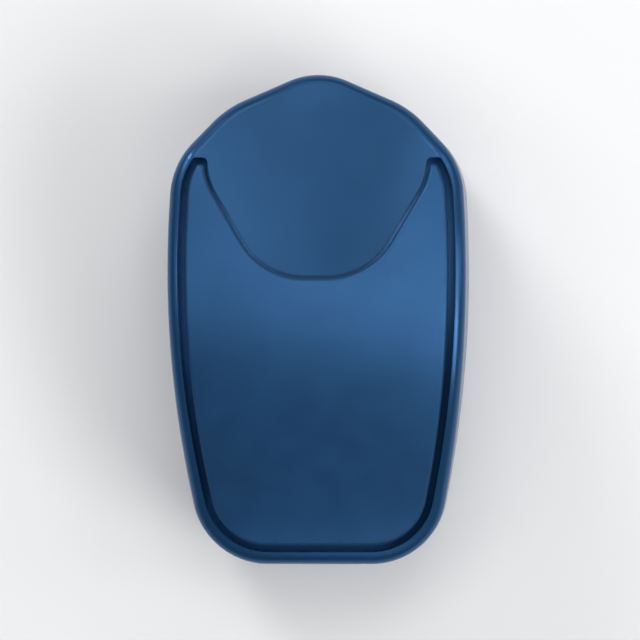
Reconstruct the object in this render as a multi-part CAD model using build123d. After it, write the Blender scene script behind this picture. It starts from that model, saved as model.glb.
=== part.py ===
from build123d import *
from math import acos, sin, tan
import os

# Magnetic glass cleaner for an aquarium, lying flat: the half for the tank below, the half for
# the hand on top, as they are stored together. +Z points away from the table and +Y to the nose.
# Units are millimetres. Z = 0 is the flat back of the tank half.

# ---------------------------------------------------------------- driving dimensions
LENGTH = 64.0             # nose to tail
BACK = -LENGTH / 2        # Y of the straight tail edge

# Plan outline, nose to tail, right-hand side: X, Y and the corner radius.
NOSE_CORNER = (0.0, 32.9, 9.6)
SIDE_CORNERS = ((12.0, 27.6, 12.8), (19.0, 20.2, 10.8), (20.4, -3.8, 155.0), (15.0, BACK, 9.9))

TANK_HALF = 17.0          # height of the tank half, pad included
PAD_GAP = 0.2             # air left between the two soft faces when the halves are together
DRAFT = 1.5               # draft of the moulded side walls, degrees
WALL = 1.8                # hand shell wall
TANK_WALL = 1.4           # tank shell wall
TOP_SKIN = 1.6            # shell left under the grip panel and under the finger scoop
FLANGE = 1.6              # thickness of a base plate
FLANGE_INSET = 0.15       # base plate edge, inside the shell edge
PLATE_CHAMFER = 0.3
TONGUE = 1.1              # height of the rib that keys a base plate into its shell
TONGUE_WALL = 1.2
FIT = 0.1                 # play between tongue and shell
ADHESIVE = 0.15
FELT = 1.5                # felt under the hand half
SCRUBBER = 2.0            # abrasive fleece of the tank half
PAD_INSET = 0.7           # pads, inside the base plate outline
ADHESIVE_INSET = 0.3      # adhesive films, inside the pads
EDGE_RADIUS = 1.5         # rounding of the hand shell's upper edge

# Height of the ridge line over the felt face, at each Y from nose to tail.
RIDGE = ((33.0, 12.6), (24.0, 17.2), (12.0, 19.8), (2.0, 19.9), (-8.0, 17.6), (-20.0, 12.2), (-33.0, 7.7))
CROWN_RADIUS = 100.0      # crosswise curvature of the top
# Height of the middle of the finger scoop over the felt face.
SCOOP = ((33.0, 11.9), (20.0, 14.8), (12.0, 17.0), (5.7, 18.9), (-3.0, 21.8))
SCOOP_RADIUS = 52.0       # crosswise curvature of the scoop
# Plan of the scoop's closed end, right-hand side: X, Y and the corner radius.
SCOOP_CORNERS = ((6.6, 5.7, 9.0), (13.8, 17.8, 8.0), (14.6, 24.0, 0.5))

GROOVE_OUTER = 1.7        # outer edge of the groove round the grip panel, from the outline
GROOVE_INNER = 2.6        # inner edge of the groove
GROOVE_DEPTH = 2.5        # depth of the groove, from the crown of the top
SEAM = 0.4                # air between the grip panel and the end of the scoop
SEAM_CUT = 0.05           # how far the panel's recess breaks into the scoop
HORN_TIP = 20.0           # Y of the tips of the grip panel
HORN_RADIUS = 0.6         # rounding of those tips in plan
GROOVE_TIP = 20.9         # Y of the ends of the groove
GROOVE_END_RADIUS = 0.7
SCOOP_OPEN = 20.15        # Y past which the scoop is as wide as the shell
SCOOP_CREASE = 2.0        # rounding where the scoop runs out at the sides
PANEL = 1.8               # thickness of the grip panel
PANEL_EDGE = 0.5          # rounding of the panel's upper edge

MAGNET = (22.0, 12.0, 5.0)          # hand half
TANK_MAGNET = (18.0, 10.0, 3.5)     # tank half
MAGNET_Y = (10.5, -3.5)             # centres of the two magnets of each half
MAGNET_CHAMFER = 0.3
YOKE = 1.0
TANK_YOKE = 0.5
POCKET = 0.8              # depth of the seat for the magnet tray in a base plate
TRAY_WALL = 1.2
CUSHION = 2.4             # foam pad between the hand half's yoke and the shell's ribs
RIB = 1.2
RIB_X = 8.0

INLAY = 1.2               # anti-slip inlay in the back of the tank half
INLAY_PROUD = 0.3         # how far it stands out of the back
INLAY_INSET = 4.2
INLAY_EDGE = 0.25         # rounding of the inlay's edge
TANK_EDGE_RADIUS = 2.0    # rounding of the tank half's back edge
TANK_TONGUE = 1.9         # height of the tank half's tongue, which carries the gasket
SEAL = 0.8                # width and height of the gasket's section
SEAL_PLAY = 0.08          # air between the gasket and the wall
SEAL_DROP = 1.3           # from the base plate to the far side of the gasket
FOAM_CLEAR = 1.0          # air round the float foam

BIG = 60.0                # reach of cutting solids beyond the part
CLOSE = 0.01              # two places nearer than this are the same
REACH = 1.0               # an edge that reaches further than this past a place lies beyond it

HAND_BASE = TANK_HALF + PAD_GAP     # Z of the felt face
OUT = "parts"


# ---------------------------------------------------------------- plan shapes
def rounded(corners):
    """A face bounded by straight runs and tangent arcs; each corner is (x, y, radius)."""
    arcs = []
    for index, (x, y, radius) in enumerate(corners):
        corner = Vector(x, y)
        before = (Vector(*corners[index - 1][:2]) - corner).normalized()
        after = (Vector(*corners[(index + 1) % len(corners)][:2]) - corner).normalized()
        half_angle = acos(before.dot(after)) / 2
        reach = radius / tan(half_angle)
        middle = (before + after).normalized()
        crest = corner + middle * (radius / sin(half_angle) - radius)
        arcs.append((corner + before * reach, crest, corner + after * reach))
    edges = []
    for index, (start, crest, end) in enumerate(arcs):
        edges.append(ThreePointArc(start, crest, end))
        edges.append(Line(end, arcs[(index + 1) % len(arcs)][0]))
    return make_face(edges)


def outline(inset=0.0):
    """The plan outline of the cleaner, moved inwards."""
    left = [(-x, y, radius) for x, y, radius in SIDE_CORNERS]
    full = rounded([NOSE_CORNER, *left, *reversed(SIDE_CORNERS)])
    return offset(full, amount=-inset, kind=Kind.ARC) if inset else full


def half_plane(y):
    """Everything on the nose side of Y = y."""
    return Pos(0, y + BIG) * Rectangle(2 * BIG, 2 * BIG)


def scoop_end(grow):
    """The closed end of the finger scoop in plan, a blunt V."""
    left = [(-x, y, radius) for x, y, radius in SCOOP_CORNERS]
    return offset(rounded([*SCOOP_CORNERS, *reversed(left)]), amount=grow, kind=Kind.ARC)


def scoop_plan(grow=0.0):
    """The finger scoop in plan, open towards the nose and past the horns."""
    return scoop_end(grow) + half_plane(SCOOP_OPEN)


def panel_plan(inset, tip, seam, tip_radius):
    """The outline behind the scoop, ending in two horns with rounded tips."""
    plan = outline(inset) - scoop_end(seam) - half_plane(tip)
    return fillet([corner for corner in plan.vertices() if abs(corner.Y - tip) < CLOSE], tip_radius)


def block(width, length, low, high, y=0.0):
    """An upright box centred on X = 0."""
    return Pos(0, y, (low + high) / 2) * Box(width, length, high - low)


def plate(face, start, stop, taper=0.0):
    """A face extruded upright from Z = start to Z = stop, narrowing on the way by taper."""
    way = 1 if stop > start else -1
    return extrude(Pos(0, 0, start) * face, amount=abs(stop - start), dir=(0, 0, way), taper=taper)


# ---------------------------------------------------------------- curved top surfaces
def bowed_section(y, height, bow, far):
    """A section across the part: a wide bowed edge, closed by straight edges at Z = far."""
    side = height + bow
    edges = [
        ThreePointArc((-BIG / 2, y, side), (0, y, height), (BIG / 2, y, side)),
        Line((BIG / 2, y, side), (BIG / 2, y, far)),
        Line((BIG / 2, y, far), (-BIG / 2, y, far)),
        Line((-BIG / 2, y, far), (-BIG / 2, y, side)),
    ]
    return make_face(edges)


def bow_of(radius):
    """Rise of an arc of that radius over the half width of a section."""
    return (BIG / 2) ** 2 / (2 * radius)


def below_ridge(drop=0.0):
    """Everything under the crowned top of the hand half, lowered by drop."""
    bow = -bow_of(CROWN_RADIUS)
    stations = [bowed_section(y, HAND_BASE + z - drop, bow, HAND_BASE - BIG) for y, z in RIDGE]
    return loft(stations)


def above_scoop(drop=0.0):
    """Everything over the hollow of the finger scoop, lowered by drop."""
    bow = bow_of(SCOOP_RADIUS)
    stations = [bowed_section(y, HAND_BASE + z - drop, bow, HAND_BASE + BIG) for y, z in SCOOP]
    return loft(stations)


# ---------------------------------------------------------------- places that follow
FELT_TOP = HAND_BASE + FELT
HAND_PLATE_LOW = FELT_TOP + ADHESIVE
HAND_PLATE_TOP = HAND_PLATE_LOW + FLANGE
HAND_SEAT = HAND_PLATE_TOP - POCKET
MAGNET_TOP = HAND_SEAT + MAGNET[2]
YOKE_TOP = MAGNET_TOP + YOKE
CUSHION_TOP = YOKE_TOP + CUSHION
CEILING = HAND_BASE + 30.0            # above everything

SCRUBBER_LOW = TANK_HALF - SCRUBBER
TANK_PLATE_TOP = SCRUBBER_LOW - ADHESIVE
TANK_PLATE_LOW = TANK_PLATE_TOP - FLANGE
TANK_SEAT = TANK_PLATE_LOW + POCKET
TANK_MAGNET_LOW = TANK_SEAT - TANK_MAGNET[2]
TANK_YOKE_LOW = TANK_MAGNET_LOW - TANK_YOKE
TANK_BACK = INLAY_PROUD
TANK_FLOOR = INLAY + TANK_WALL        # top of the tank shell's floor
SEAL_LOW = TANK_PLATE_LOW - SEAL_DROP
SEAL_OUTER = TANK_WALL + SEAL_PLAY
TRAY_Y = sum(MAGNET_Y) / 2


# ---------------------------------------------------------------- hand half
def is_on_rim(edge, core):
    """Whether a top edge runs along the outline, outside the core plan."""
    if edge.bounding_box().min.Z < HAND_PLATE_TOP + REACH or edge.geom_type == GeomType.LINE:
        return False
    points = [edge @ 0, edge @ 0.5, edge @ 1]
    return not any(core.is_inside(Vector(point.X, point.Y, 0)) for point in points)


def is_scoop_crease(edge):
    """Whether an edge is where the hollow of the scoop runs out towards the side."""
    near, far = sorted(((edge @ 0).Y, (edge @ 1).Y))
    return abs(near - SCOOP_OPEN) < CLOSE and far > SCOOP_OPEN + REACH


def hand_block():
    """The hand shell's outside as one solid, with the finger scoop and rounded edges."""
    core = outline(EDGE_RADIUS)
    solid = plate(outline(), HAND_PLATE_TOP, CEILING, DRAFT) & below_ridge()
    solid -= above_scoop() & plate(scoop_plan(), HAND_PLATE_TOP, CEILING)
    solid = fillet([edge for edge in solid.edges() if is_scoop_crease(edge)], SCOOP_CREASE)
    return fillet([edge for edge in solid.edges() if is_on_rim(edge, core)], EDGE_RADIUS)


def grip_plan():
    """The grip panel in plan."""
    return panel_plan(GROOVE_INNER, HORN_TIP, SEAM, HORN_RADIUS)


def grip_panel():
    """Soft anti-slip panel, following the crown of the top."""
    slab = (plate(grip_plan(), HAND_PLATE_TOP, CEILING) & below_ridge()) - below_ridge(PANEL)
    upper = slab.faces().filter_by(GeomType.BSPLINE).sort_by(Axis.Z)[-1]
    return fillet(upper.edges(), PANEL_EDGE)


def panel_recess():
    """The recess for the grip panel, with the deeper groove that runs round it."""
    plan = panel_plan(GROOVE_OUTER, GROOVE_TIP, -SEAM_CUT, GROOVE_END_RADIUS)
    seat = plate(plan, HAND_PLATE_TOP, CEILING) - below_ridge(PANEL)
    groove = plate(plan - grip_plan(), HAND_PLATE_TOP, CEILING) - below_ridge(GROOVE_DEPTH)
    return seat + groove


def hand_cavity():
    """The room inside the hand shell."""
    room = plate(outline(WALL), HAND_PLATE_TOP, CEILING, DRAFT) & below_ridge(PANEL + TOP_SKIN)
    return room - (above_scoop(TOP_SKIN) & plate(scoop_plan(TOP_SKIN), HAND_PLATE_TOP, CEILING))


def hand_shell():
    """Moulded shell of the hand half, with two ribs that press on the magnet cushion."""
    cavity = hand_cavity()
    ribs = [Pos(side * RIB_X, 0, 0) * block(RIB, tray_length(MAGNET), CUSHION_TOP, CEILING, TRAY_Y)
            for side in (-1, 1)]
    for rib in ribs:
        cavity -= rib
    return hand_block() - panel_recess() - cavity


def tongue(wall, root, tip):
    """The rib on a base plate that keys into the shell's wall."""
    ring = outline(wall + FIT) - outline(wall + FIT + TONGUE_WALL)
    return plate(ring, root, tip)


def tray_length(magnet):
    """Length of the tray that holds two magnets."""
    return MAGNET_Y[0] - MAGNET_Y[1] + magnet[1] + 2 * TRAY_WALL


def tray_seat(magnet, low, high):
    """The pocket in a base plate for a magnet tray."""
    return block(magnet[0] + 2 * (TRAY_WALL + FIT), tray_length(magnet) + 2 * FIT, low, high, TRAY_Y)


def magnet_block(magnet, y, low, high):
    """One bar magnet."""
    return chamfer(block(magnet[0], magnet[1], low, high, y).edges(), MAGNET_CHAMFER)


def yoke(magnet, low, high):
    """Steel plate that closes the magnetic circuit behind both magnets."""
    length = tray_length(magnet) - 2 * TRAY_WALL
    return block(magnet[0], length, low, high, TRAY_Y)


def magnet_tray(magnet, seat, top, outside):
    """Frame round two magnets, from the base plate's seat, with a rebate for the yoke."""
    low, high = min(seat, outside), max(seat, outside)
    frame = block(magnet[0] + 2 * TRAY_WALL, tray_length(magnet), low, high, TRAY_Y)
    frame -= yoke(magnet, min(top, outside), max(top, outside))
    for y in MAGNET_Y:
        frame -= block(magnet[0], magnet[1], low, high, y)
    return frame


def hand_base_plate():
    """Plate that closes the hand half on the glass side."""
    flange = plate(outline(FLANGE_INSET), HAND_PLATE_LOW, HAND_PLATE_TOP)
    flange = chamfer(flange.faces().sort_by(Axis.Z)[0].edges(), PLATE_CHAMFER)
    flange -= tray_seat(MAGNET, HAND_SEAT, HAND_PLATE_TOP)
    return flange + tongue(WALL, HAND_PLATE_TOP, HAND_PLATE_TOP + TONGUE)


# ---------------------------------------------------------------- tank half
def tank_shell():
    """Moulded tub of the half that goes into the tank, open towards the glass."""
    tub = plate(outline(), TANK_PLATE_LOW, TANK_BACK, DRAFT)
    back = tub.faces().sort_by(Axis.Z)[0]
    tub = fillet(back.edges(), TANK_EDGE_RADIUS)
    tub -= plate(outline(TANK_WALL), TANK_PLATE_LOW, TANK_FLOOR, DRAFT)
    return tub - plate(outline(INLAY_INSET), TANK_BACK, INLAY)


def tank_grip_inlay():
    """Soft anti-slip inlay in the back; the cleaner lies on it."""
    inlay = plate(outline(INLAY_INSET + FIT), 0.0, INLAY)
    return fillet(inlay.faces().sort_by(Axis.Z)[0].edges(), INLAY_EDGE)


def tank_seal_ring():
    """A square gasket round the tongue of the tank half's base plate."""
    ring = outline(SEAL_OUTER) - outline(SEAL_OUTER + SEAL)
    return plate(ring, SEAL_LOW, SEAL_LOW + SEAL)


def tank_base_plate():
    """Plate that closes the tank half on the glass side, with a groove for the gasket."""
    flange = plate(outline(FLANGE_INSET), TANK_PLATE_LOW, TANK_PLATE_TOP)
    flange = chamfer(flange.faces().sort_by(Axis.Z)[-1].edges(), PLATE_CHAMFER)
    flange -= tray_seat(TANK_MAGNET, TANK_PLATE_LOW, TANK_SEAT)
    rib = tongue(TANK_WALL, TANK_PLATE_LOW - TANK_TONGUE, TANK_PLATE_LOW)
    return flange + rib - tank_seal_ring()


def tank_float_foam():
    """Closed-cell foam that fills the tub and keeps the tank half afloat."""
    return plate(outline(TANK_WALL + FOAM_CLEAR), TANK_FLOOR, TANK_YOKE_LOW)


# ---------------------------------------------------------------- all sub-parts
def pad(low, high):
    """A soft pad on the glass side of a base plate."""
    return plate(outline(FLANGE_INSET + PAD_INSET), low, high)


def adhesive_film(low, high):
    """The film that holds a pad on its base plate."""
    return plate(outline(FLANGE_INSET + PAD_INSET + ADHESIVE_INSET), low, high)


def build_parts():
    """Every sub-part by name."""
    parts = {
        "hand_shell": hand_shell(),
        "grip_panel": grip_panel(),
        "hand_base_plate": hand_base_plate(),
        "hand_magnet_tray": magnet_tray(MAGNET, HAND_SEAT, MAGNET_TOP, YOKE_TOP),
        "hand_yoke_plate": yoke(MAGNET, MAGNET_TOP, YOKE_TOP),
        "hand_magnet_cushion": yoke(MAGNET, YOKE_TOP, CUSHION_TOP),
        "hand_pad_adhesive": adhesive_film(FELT_TOP, HAND_PLATE_LOW),
        "felt_pad": pad(HAND_BASE, FELT_TOP),
        "tank_shell": tank_shell(),
        "tank_grip_inlay": tank_grip_inlay(),
        "tank_base_plate": tank_base_plate(),
        "tank_seal_ring": tank_seal_ring(),
        "tank_magnet_tray": magnet_tray(TANK_MAGNET, TANK_SEAT, TANK_MAGNET_LOW, TANK_YOKE_LOW),
        "tank_yoke_plate": yoke(TANK_MAGNET, TANK_YOKE_LOW, TANK_MAGNET_LOW),
        "tank_float_foam": tank_float_foam(),
        "tank_pad_adhesive": adhesive_film(TANK_PLATE_TOP, SCRUBBER_LOW),
        "scrub_pad": pad(SCRUBBER_LOW, TANK_HALF),
    }
    for place, y in zip(("front", "rear"), MAGNET_Y):
        parts[f"hand_magnet_{place}"] = magnet_block(MAGNET, y, HAND_SEAT, MAGNET_TOP)
        parts[f"tank_magnet_{place}"] = magnet_block(TANK_MAGNET, y, TANK_MAGNET_LOW, TANK_SEAT)
    return parts


def main():
    os.makedirs(OUT, exist_ok=True)
    for name, solid in build_parts().items():
        export_step(solid, f"{OUT}/{name}.step")


if __name__ == "__main__":
    main()
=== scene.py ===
import math

import bmesh
import bpy
import numpy as np
from mathutils import Matrix, Vector, noise
from mathutils.bvhtree import BVHTree


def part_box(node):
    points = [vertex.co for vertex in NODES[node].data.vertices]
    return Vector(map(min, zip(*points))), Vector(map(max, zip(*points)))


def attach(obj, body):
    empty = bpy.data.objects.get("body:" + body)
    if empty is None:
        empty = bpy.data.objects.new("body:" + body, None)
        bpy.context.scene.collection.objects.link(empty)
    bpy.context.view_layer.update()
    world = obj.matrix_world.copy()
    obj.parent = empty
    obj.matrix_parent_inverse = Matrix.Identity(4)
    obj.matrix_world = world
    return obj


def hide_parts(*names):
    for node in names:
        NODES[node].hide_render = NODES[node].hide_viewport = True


# Looks of the magnetic glass cleaner: satin navy plastic, a soft-touch grip panel, a felt pad and
# an abrasive fleece. Everything is in metres.

MM = 0.001

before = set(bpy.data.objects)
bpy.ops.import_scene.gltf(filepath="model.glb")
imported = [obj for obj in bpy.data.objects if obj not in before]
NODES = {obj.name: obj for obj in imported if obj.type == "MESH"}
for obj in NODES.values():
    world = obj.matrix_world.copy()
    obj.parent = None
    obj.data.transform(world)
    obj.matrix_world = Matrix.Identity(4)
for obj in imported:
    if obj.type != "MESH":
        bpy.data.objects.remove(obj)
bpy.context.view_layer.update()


# ---------------------------------------------------------------- node helpers
def new_material(name):
    """An empty node material with its output and one principled shader."""
    material = bpy.data.materials.new(name)
    material.use_nodes = True
    tree = material.node_tree
    tree.nodes.clear()
    output = tree.nodes.new("ShaderNodeOutputMaterial")
    shader = tree.nodes.new("ShaderNodeBsdfPrincipled")
    tree.links.new(shader.outputs["BSDF"], output.inputs["Surface"])
    return material, tree, shader


def linear(red, green, blue):
    """An sRGB colour, 0 to 255 a channel, as the linear colour that shaders take."""
    def channel(value):
        value /= 255
        return value / 12.92 if value <= 0.04045 else ((value + 0.055) / 1.055) ** 2.4
    return (channel(red), channel(green), channel(blue), 1.0)


def darker(colour, share):
    """A colour with that share of its brightness left."""
    return tuple(value * share for value in colour[:3]) + (1.0,)


def object_noise(tree, size, detail=3.0, roughness=0.55, stretch=(1, 1, 1)):
    """Noise over the object's own coordinates, with features about size metres across."""
    place = tree.nodes.new("ShaderNodeTexCoord")
    scale = tree.nodes.new("ShaderNodeMapping")
    scale.inputs["Scale"].default_value = stretch
    tree.links.new(place.outputs["Object"], scale.inputs["Vector"])
    texture = tree.nodes.new("ShaderNodeTexNoise")
    texture.inputs["Scale"].default_value = 1 / size
    texture.inputs["Detail"].default_value = detail
    texture.inputs["Roughness"].default_value = roughness
    tree.links.new(scale.outputs["Vector"], texture.inputs["Vector"])
    return texture.outputs["Fac"]


def object_cells(tree, size, smoothness=0.0):
    """Distance to the middle of cells about size metres across, over the object's coordinates."""
    place = tree.nodes.new("ShaderNodeTexCoord")
    texture = tree.nodes.new("ShaderNodeTexVoronoi")
    texture.inputs["Scale"].default_value = 1 / size
    if smoothness:
        texture.feature = "SMOOTH_F1"
        texture.inputs["Smoothness"].default_value = smoothness
    tree.links.new(place.outputs["Object"], texture.inputs["Vector"])
    return texture.outputs["Distance"]


def remap(tree, value, low, high, source=(0.35, 0.65)):
    """A value mapped from the source range to low..high, held inside it."""
    node = tree.nodes.new("ShaderNodeMapRange")
    node.inputs["From Min"].default_value, node.inputs["From Max"].default_value = source
    node.inputs["To Min"].default_value = low
    node.inputs["To Max"].default_value = high
    tree.links.new(value, node.inputs["Value"])
    return node.outputs["Result"]


def mixed(tree, factor, colour_a, colour_b):
    """A colour between two, by factor; each colour is four numbers or another node's socket."""
    node = tree.nodes.new("ShaderNodeMix")
    node.data_type = "RGBA"
    tree.links.new(factor, node.inputs["Factor"])
    for socket, colour in (("A", colour_a), ("B", colour_b)):
        target = [entry for entry in node.inputs if entry.name == socket and entry.type == "RGBA"][0]
        if isinstance(colour, bpy.types.NodeSocket):
            tree.links.new(colour, target)
        else:
            target.default_value = colour
    return [entry for entry in node.outputs if entry.type == "RGBA"][0]


def bumped(tree, shader, layers):
    """Stacks bump layers, each (height socket, strength, depth in metres), into the shader's normal."""
    last = None
    for height, strength, depth in layers:
        bump = tree.nodes.new("ShaderNodeBump")
        bump.inputs["Strength"].default_value = strength
        bump.inputs["Distance"].default_value = depth
        tree.links.new(height, bump.inputs["Height"])
        if last:
            tree.links.new(last, bump.inputs["Normal"])
        last = bump.outputs["Normal"]
    tree.links.new(last, shader.inputs["Normal"])


# ---------------------------------------------------------------- materials
NAVY = linear(30, 76, 120)
NAVY_DEEP = linear(28, 72, 114)
GRIP = linear(31, 78, 123)
GRIP_DEEP = linear(29, 74, 117)
PEARL = 0.6               # share of metallic-effect pigment in the navy
PLATE_NAVY = linear(26, 44, 70)
PLATE_NAVY_DEEP = linear(22, 38, 62)
TRAY_WHITE = linear(205, 205, 200)
TRAY_WHITE_DEEP = linear(190, 190, 184)
FILM_GREY = linear(52, 54, 58)
FILM_GREY_DEEP = linear(46, 48, 52)
RUBBER = linear(34, 34, 36)
RUBBER_DEEP = linear(28, 28, 30)


def moulded_plastic(name, colour, colour_deep, gloss, pearl=0.0):
    """Injection-moulded plastic: fine spark-eroded grain, slight flow marks, uneven gloss."""
    grain = 0.3 * MM
    grain_depth = 0.003 * MM
    unevenness = 0.01
    material, tree, shader = new_material(name)
    flow = object_noise(tree, 14 * MM, detail=2, stretch=(1, 0.5, 1))
    smudge = object_noise(tree, 5 * MM, detail=4, roughness=0.6)
    fine = object_noise(tree, grain, detail=2)
    tree.links.new(mixed(tree, remap(tree, flow, 0, 1), colour, colour_deep), shader.inputs["Base Color"])
    dullness = remap(tree, smudge, gloss - unevenness, gloss + unevenness)
    tree.links.new(dullness, shader.inputs["Roughness"])
    shader.inputs["IOR"].default_value = 1.46
    shader.inputs["Metallic"].default_value = pearl
    bumped(tree, shader, [(fine, 0.15, grain_depth)])
    return material


def soft_touch(name):
    """Overmoulded elastomer: matt, with a close pebble grain that stops fingers from slipping."""
    pebble = 0.42 * MM
    pebble_depth = 0.012 * MM
    material, tree, shader = new_material(name)
    flow = object_noise(tree, 11 * MM, detail=2)
    smudge = object_noise(tree, 3.5 * MM, detail=4, roughness=0.6)
    pebbles = object_cells(tree, pebble, smoothness=0.6)
    tree.links.new(mixed(tree, remap(tree, flow, 0, 1), GRIP, GRIP_DEEP), shader.inputs["Base Color"])
    dullness = remap(tree, smudge, 0.42, 0.49)
    tree.links.new(dullness, shader.inputs["Roughness"])
    shader.inputs["IOR"].default_value = 1.42
    shader.inputs["Metallic"].default_value = PEARL
    shader.inputs["Sheen Weight"].default_value = 0.03
    shader.inputs["Sheen Roughness"].default_value = 0.5
    bumped(tree, shader, [(pebbles, 0.25, pebble_depth)])
    return material


def metal(name, colour, roughness, brushed):
    """Plated or brushed metal."""
    material, tree, shader = new_material(name)
    stretch = (1, 0.04, 1) if brushed else (1, 1, 1)
    line_depth = 0.004 * MM
    lines = object_noise(tree, 0.25 * MM, detail=3, stretch=stretch)
    blotch = object_noise(tree, 3 * MM)
    deep = darker(colour, 0.82)
    tree.links.new(mixed(tree, remap(tree, blotch, 0, 1), colour, deep), shader.inputs["Base Color"])
    tree.links.new(remap(tree, lines, roughness - 0.06, roughness + 0.1), shader.inputs["Roughness"])
    shader.inputs["Metallic"].default_value = 1.0
    bumped(tree, shader, [(lines, 0.2, line_depth)])
    return material


def foam(name, colour):
    """Closed-cell foam with visible cells."""
    cell = 0.6 * MM
    cell_depth = 0.1 * MM
    material, tree, shader = new_material(name)
    cells = object_cells(tree, cell)
    shade = remap(tree, cells, 0, 1, source=(0.1, 0.7))
    tree.links.new(mixed(tree, shade, colour, darker(colour, 0.7)), shader.inputs["Base Color"])
    shader.inputs["Roughness"].default_value = 0.9
    bumped(tree, shader, [(cells, 0.6, cell_depth)])
    return material


def fibre_material(name, light, dark, sheen, spread):
    """Fibres and the matted ground under them, each tuft a little lighter or darker."""
    strand = 0.12 * MM
    strand_depth = 0.03 * MM
    material, tree, shader = new_material(name)
    tufts = object_noise(tree, spread, detail=3, roughness=0.65)
    strands = object_noise(tree, strand, detail=2)
    shade = mixed(tree, remap(tree, tufts, 0, 1), light, dark)
    tree.links.new(mixed(tree, remap(tree, strands, 0, 0.5), shade, dark), shader.inputs["Base Color"])
    shader.inputs["Roughness"].default_value = 0.95
    shader.inputs["Sheen Weight"].default_value = sheen
    shader.inputs["Sheen Roughness"].default_value = 0.4
    bumped(tree, shader, [(strands, 0.5, strand_depth)])
    return material


SHELL = moulded_plastic("navy_shell", NAVY, NAVY_DEEP, gloss=0.29, pearl=PEARL)
TANK_SHELL = moulded_plastic("navy_tank_shell", NAVY, NAVY_DEEP, gloss=0.31, pearl=PEARL)
GRIP_MATERIAL = soft_touch("navy_soft_touch")
PLATE_MATERIAL = moulded_plastic("dark_base_plastic", PLATE_NAVY, PLATE_NAVY_DEEP, gloss=0.42)
TRAY_MATERIAL = moulded_plastic("natural_tray_plastic", TRAY_WHITE, TRAY_WHITE_DEEP, gloss=0.45)
MAGNET_MATERIAL = metal("nickel_plate", linear(190, 188, 184), 0.22, brushed=False)
YOKE_MATERIAL = metal("zinc_sheet", linear(165, 167, 170), 0.35, brushed=True)
FOAM_MATERIAL = foam("closed_cell_foam", linear(225, 224, 218))
ADHESIVE_MATERIAL = moulded_plastic("adhesive_film", FILM_GREY, FILM_GREY_DEEP, gloss=0.5)
SEAL_MATERIAL = moulded_plastic("gasket_rubber", RUBBER, RUBBER_DEEP, gloss=0.55)
FELT_GROUND = fibre_material("dark_felt", linear(52, 56, 64), linear(30, 33, 39), 0.3, 1.2 * MM)
FELT_STRANDS = fibre_material("felt_strands", linear(74, 79, 90), linear(44, 48, 56), 0.3, 1.2 * MM)
FLEECE_GROUND = fibre_material("abrasive_fleece", linear(66, 70, 75), linear(34, 37, 41), 0.1, 1.8 * MM)
FLEECE_STRANDS = fibre_material("fleece_strands", linear(122, 127, 132), linear(72, 76, 81), 0.1, 1.8 * MM)

NODE_MATERIALS = {
    "hand_shell": SHELL,
    "grip_panel": GRIP_MATERIAL,
    "hand_base_plate": PLATE_MATERIAL,
    "hand_magnet_tray": TRAY_MATERIAL,
    "hand_magnet_front": MAGNET_MATERIAL,
    "hand_magnet_rear": MAGNET_MATERIAL,
    "hand_yoke_plate": YOKE_MATERIAL,
    "hand_magnet_cushion": FOAM_MATERIAL,
    "hand_pad_adhesive": ADHESIVE_MATERIAL,
    "tank_shell": TANK_SHELL,
    "tank_grip_inlay": GRIP_MATERIAL,
    "tank_base_plate": PLATE_MATERIAL,
    "tank_seal_ring": SEAL_MATERIAL,
    "tank_magnet_tray": TRAY_MATERIAL,
    "tank_magnet_front": MAGNET_MATERIAL,
    "tank_magnet_rear": MAGNET_MATERIAL,
    "tank_yoke_plate": YOKE_MATERIAL,
    "tank_float_foam": FOAM_MATERIAL,
    "tank_pad_adhesive": ADHESIVE_MATERIAL,
}
for node_name, node_material in NODE_MATERIALS.items():
    slots = NODES[node_name].data.materials
    slots.clear()
    slots.append(node_material)


# ---------------------------------------------------------------- pads
PAD_VOXEL = 0.28 * MM
PAD_SOFTENING = 0.02 * MM  # how far a pad's whole surface is drawn in
FIBRE_STEPS = 6           # places along a fibre
FIBRE_SIDES = 3
FIBRE_TURN = 2.2          # most that a fibre turns along its length, radians
TINY = 1e-9               # keeps a division from failing


def remeshed(node_name, name, voxel):
    """A dense copy of a CAD solid as a new object."""
    mesh = NODES[node_name].data.copy()
    mesh.name = name
    piece = bpy.data.objects.new(name, mesh)
    bpy.context.scene.collection.objects.link(piece)
    modifier = piece.modifiers.new("remesh", "REMESH")
    modifier.mode = "VOXEL"
    modifier.voxel_size = voxel
    depsgraph = bpy.context.evaluated_depsgraph_get()
    dense = bpy.data.meshes.new_from_object(piece.evaluated_get(depsgraph))
    piece.modifiers.clear()
    piece.data = dense
    dense.name = name
    return piece


def rough_surface(piece, depth, size, soften):
    """Sinks a dense piece's surface by noise, so that it looks matted; nothing moves outwards."""
    roughness, step_down, octaves = 0.6, 2.0, 3
    mesh = piece.data
    working = bmesh.new()
    working.from_mesh(mesh)
    bmesh.ops.smooth_vert(working, verts=working.verts, factor=0.5, use_axis_x=True, use_axis_y=True,
                          use_axis_z=True)
    working.normal_update()
    for vertex in working.verts:
        tuft = noise.fractal(vertex.co / size, roughness, step_down, octaves)
        sink = depth * (0.5 + 0.5 * tuft) + soften
        vertex.co -= vertex.normal * max(0.0, sink)
    working.to_mesh(mesh)
    working.free()
    for polygon in mesh.polygons:
        polygon.use_smooth = True


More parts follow.
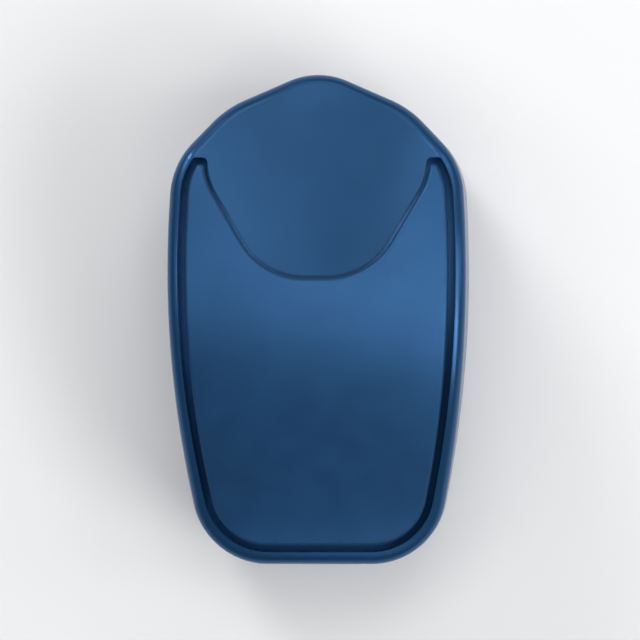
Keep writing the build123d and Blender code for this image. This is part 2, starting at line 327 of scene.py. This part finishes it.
def fibre_line(surface, start, normal, random, length, lift):
    """Places and headings along one fibre, which turns and arches over a surface from start."""
    side = np.cross(normal, random.normal(size=3))
    side /= np.linalg.norm(side) + TINY
    across = np.cross(normal, side)
    reach = length * random.uniform(0.5, 1.0)
    turn = random.uniform(-FIBRE_TURN, FIBRE_TURN)
    arch = lift * random.uniform(0.2, 1.0)
    heading = 0.0
    point = start
    line = []
    for step in range(FIBRE_STEPS):
        heading += turn / FIBRE_STEPS
        way = side * math.cos(heading) + across * math.sin(heading)
        if step:
            point = point + way * reach / (FIBRE_STEPS - 1)
        point, outward = (np.array(part) for part in surface.find_nearest(point)[:2])
        raised = arch * math.sin(math.pi * step / (FIBRE_STEPS - 1))
        line.append((point + outward * raised, way))
    return line


def tube(line, normal, radius, first):
    """Corners and faces of a tube along a fibre, thinner at its ends; first is its first index."""
    corners = []
    for step, (place, way) in enumerate(line):
        along = step / (FIBRE_STEPS - 1)
        thick = radius * (1.0 - 0.5 * abs(2 * along - 1))
        across = np.cross(way, normal)
        for side in range(FIBRE_SIDES):
            angle = 2 * math.pi * side / FIBRE_SIDES
            corners.append(place + thick * (across * math.cos(angle) + normal * math.sin(angle)))
    faces = []
    last = first + (FIBRE_STEPS - 1) * FIBRE_SIDES
    for ring in range(first, last, FIBRE_SIDES):
        for side in range(FIBRE_SIDES):
            here = ring + side
            beside = ring + (side + 1) % FIBRE_SIDES
            faces.append((here, beside, beside + FIBRE_SIDES, here + FIBRE_SIDES))
    faces.append(tuple(reversed(range(first, first + FIBRE_SIDES))))
    faces.append(tuple(range(last, last + FIBRE_SIDES)))
    return corners, faces


def fibres(piece, name, count, length, radius, lift, seed, material):
    """Loose fibres that curl over a piece's surface, inside its box, as one mesh of thin tubes."""
    random = np.random.default_rng(seed)
    mesh = piece.data
    points = np.array([vertex.co for vertex in mesh.vertices])
    low, high = points.min(0) + radius, points.max(0) - radius
    surface = BVHTree.FromPolygons([vertex.co for vertex in mesh.vertices],
                                   [tuple(polygon.vertices) for polygon in mesh.polygons])
    centres = np.array([polygon.center for polygon in mesh.polygons])
    normals = np.array([polygon.normal for polygon in mesh.polygons])
    areas = np.array([polygon.area for polygon in mesh.polygons])
    vertices = []
    faces = []
    for pick in random.choice(len(centres), size=count, p=areas / areas.sum()):
        line = fibre_line(surface, centres[pick], normals[pick], random, length, lift)
        inside = [(np.clip(place, low, high), way) for place, way in line]
        corners, sides = tube(inside, normals[pick], radius, len(vertices))
        vertices += corners
        faces += sides
    data = bpy.data.meshes.new(name)
    data.from_pydata([tuple(vertex) for vertex in vertices], [], faces)
    data.materials.append(material)
    for polygon in data.polygons:
        polygon.use_smooth = True
    strands = bpy.data.objects.new(name, data)
    bpy.context.scene.collection.objects.link(strands)
    return strands


def pad(node_name, name, body, ground, sink, tuft, strand):
    """One fibrous pad in place of its plain CAD solid, matted by hollows sink deep, tuft across."""
    piece = remeshed(node_name, name, PAD_VOXEL)
    rough_surface(piece, sink, tuft, PAD_SOFTENING)
    piece.data.materials.clear()
    piece.data.materials.append(ground)
    strands = fibres(piece, name + "_fibres", **strand)
    for part in (piece, strands):
        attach(part, body)
    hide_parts(node_name)


FELT_FIBRES = dict(count=3200, length=1.8 * MM, radius=0.022 * MM, lift=0.12 * MM, seed=11,
                   material=FELT_STRANDS)
FLEECE_FIBRES = dict(count=4800, length=3.6 * MM, radius=0.05 * MM, lift=0.3 * MM, seed=23,
                     material=FLEECE_STRANDS)
pad("felt_pad", "felt_pad_body", "hand_half", FELT_GROUND, 0.07 * MM, 0.8 * MM, FELT_FIBRES)
pad("scrub_pad", "scrub_pad_body", "tank_half", FLEECE_GROUND, 0.16 * MM, 1.0 * MM,
    FLEECE_FIBRES)


# ---------------------------------------------------------------- floor, light and camera
HORIZON = 0.62            # brightness of the surround near the floor line
OVERHEAD = 0.12           # and higher up
HAZE = (0.92, 0.95, 1.0, 1.0)       # its colour, and that of the floor's glow
FLOOR_REACH = 6.0
# The floor's painted glow: it emits light, none near the part and up to HORIZON far off.
GLOW_START, GLOW_FULL = 0.10, 0.60  # metres from the part over which the floor fades to the horizon


def area_light(name, place, target, width, height, power):
    """A soft box at place, facing target."""
    data = bpy.data.lights.new(name, "AREA")
    data.shape = "RECTANGLE"
    data.size, data.size_y = width, height
    data.energy = power
    lamp = bpy.data.objects.new(name, data)
    lamp.location = place
    lamp.rotation_mode = "QUATERNION"
    way = Vector(target) - Vector(place)
    lamp.rotation_quaternion = way.to_track_quat("-Z", "Y")
    bpy.context.scene.collection.objects.link(lamp)


def plain_floor():
    """A pale matt floor, large enough to reach the horizon of a low view, with a painted glow that grows
    with distance from the part.
    """
    mesh = bpy.data.meshes.new("floor")
    corners = [(x * FLOOR_REACH, y * FLOOR_REACH, 0) for x, y in ((-1, -1), (1, -1), (1, 1), (-1, 1))]
    mesh.from_pydata(corners, [], [(0, 1, 2, 3)])
    floor = bpy.data.objects.new("floor", mesh)
    bpy.context.scene.collection.objects.link(floor)
    material, tree, shader = new_material("pale_floor")
    cloud = object_noise(tree, 0.4, detail=2)
    pale = mixed(tree, remap(tree, cloud, 0, 1), linear(236, 236, 236), linear(232, 232, 233))
    tree.links.new(pale, shader.inputs["Base Color"])
    shader.inputs["Roughness"].default_value = 0.8
    place = tree.nodes.new("ShaderNodeTexCoord")
    distance = tree.nodes.new("ShaderNodeVectorMath")
    distance.operation = "LENGTH"
    tree.links.new(place.outputs["Object"], distance.inputs[0])
    # painted light: the floor glows more the farther it lies from the part
    glow = remap(tree, distance.outputs["Value"], 0, HORIZON, source=(GLOW_START, GLOW_FULL))
    tree.links.new(glow, shader.inputs["Emission Strength"])
    shader.inputs["Emission Color"].default_value = HAZE
    mesh.materials.append(material)


def studio():
    """Soft boxes overhead, on the right and beyond the nose and the tail, in a weak pale surround."""
    world = bpy.data.worlds.new("surround")
    world.use_nodes = True
    tree = world.node_tree
    background = tree.nodes["Background"]
    background.inputs["Color"].default_value = HAZE
    place = tree.nodes.new("ShaderNodeTexCoord")
    split = tree.nodes.new("ShaderNodeSeparateXYZ")
    tree.links.new(place.outputs["Generated"], split.inputs["Vector"])
    strength = remap(tree, split.outputs["Z"], HORIZON, OVERHEAD, source=(0.03, 0.22))
    tree.links.new(strength, background.inputs["Strength"])
    bpy.context.scene.world = world
    heart = (0, 0, 0.02)
    area_light("top_tail_box", (0, -0.13, 0.55), heart, 0.20, 0.14, 0.37)
    area_light("top_nose_box", (0, 0.15, 0.53), heart, 0.24, 0.12, 0.51)
    area_light("top_left_box", (-0.20, 0, 0.50), heart, 0.18, 0.30, 0.32)
    area_light("top_right_box", (0.20, 0, 0.50), heart, 0.18, 0.30, 0.35)
    area_light("side_box", (0.42, 0.02, 0.36), heart, 0.10, 0.40, 0.30)
    area_light("tail_right_box", (0.28, -0.18, 0.42), heart, 0.20, 0.20, 0.86)
    area_light("nose_left_box", (-0.26, 0.42, 0.36), heart, 0.20, 0.16, 1.12)
    area_light("nose_right_box", (0.16, 0.36, 0.42), heart, 0.34, 0.14, 0.40)


def straight_on_camera():
    """A long lens that looks down on the hand half, a touch from the right, nose upwards."""
    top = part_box("hand_shell")[1].z
    target = Vector((0, 0, top * 0.6))
    tilt = math.radians(2.0)
    distance = 0.56
    back = Vector((math.sin(tilt), 0, math.cos(tilt)))
    right = Vector((0, 1, 0)).cross(back).normalized()
    up = back.cross(right)
    data = bpy.data.cameras.new("camera")
    data.lens = 240
    data.clip_start = 0.01
    camera = bpy.data.objects.new("camera", data)
    bpy.context.scene.collection.objects.link(camera)
    facing = Matrix((right, up, back)).transposed().to_4x4()
    camera.matrix_world = Matrix.Translation(target + back * distance) @ facing
    bpy.context.scene.camera = camera


plain_floor()
studio()
straight_on_camera()
bpy.context.scene.view_settings.view_transform = "Standard"
